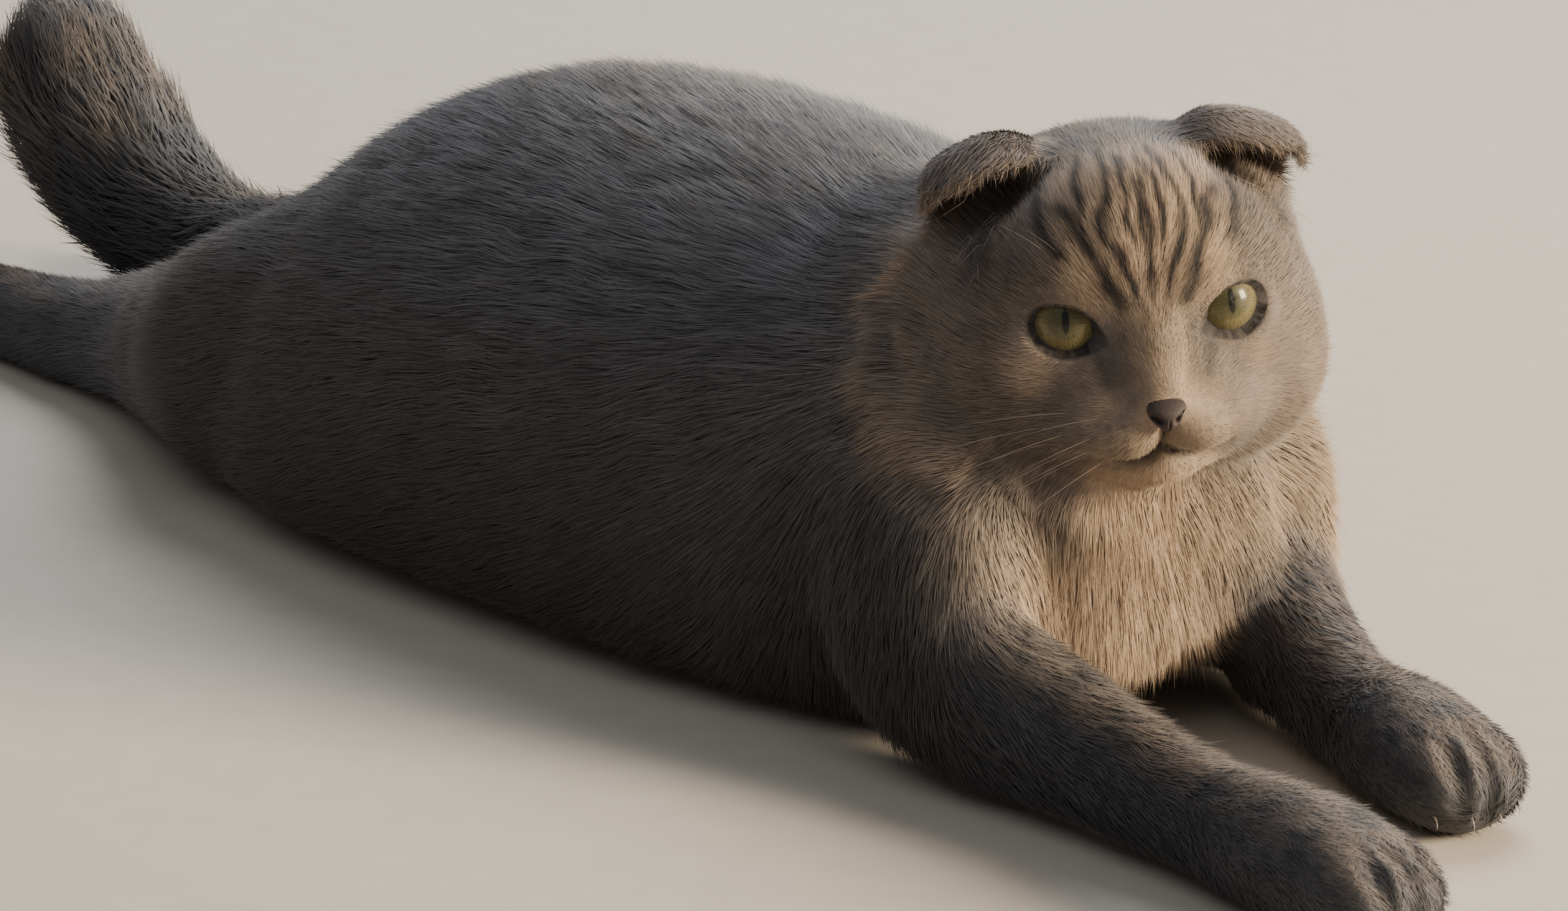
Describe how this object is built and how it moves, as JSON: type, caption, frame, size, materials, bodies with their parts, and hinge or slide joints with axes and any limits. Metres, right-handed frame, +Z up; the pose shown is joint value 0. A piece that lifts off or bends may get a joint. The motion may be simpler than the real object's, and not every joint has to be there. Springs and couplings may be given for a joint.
{
  "type": "scottish fold cat",
  "caption": "Life-size blue fold-eared cat lying on its belly, forelegs stretched out in front, hind legs out behind, tail end lifted, head up and turned.",
  "frame": {"origin": "centre of the overall box at floor level, under the belly", "axes": "+X towards the nose and forepaws, +Y towards the cat's left side, +Z up"},
  "size_m": [0.778, 0.2328, 0.1976],
  "materials": {
    "coat": "dense short plush fur, matt",
    "eye": "wet and clear over a yellow-green iris",
    "nose_leather": "bare damp skin, fine grained"
  },
  "bodies": {
    "root": {"belly": "coat", "chest": "coat", "head": "coat", "left_ear": "coat", "left_eye": "eye", "left_forearm": "coat", "left_forepaw": "coat", "left_hind_foot": "coat", "left_shank": "coat", "left_thigh": "coat", "left_upper_foreleg": "coat", "neck": "coat", "nose": "nose_leather", "right_ear": "coat", "right_eye": "eye", "right_forearm": "coat", "right_forepaw": "coat", "right_hind_foot": "coat", "right_shank": "coat", "right_thigh": "coat", "right_upper_foreleg": "coat", "rump": "coat", "tail_middle": "coat", "tail_root": "coat", "tail_tip": "coat"}
  },
  "joints": []
}
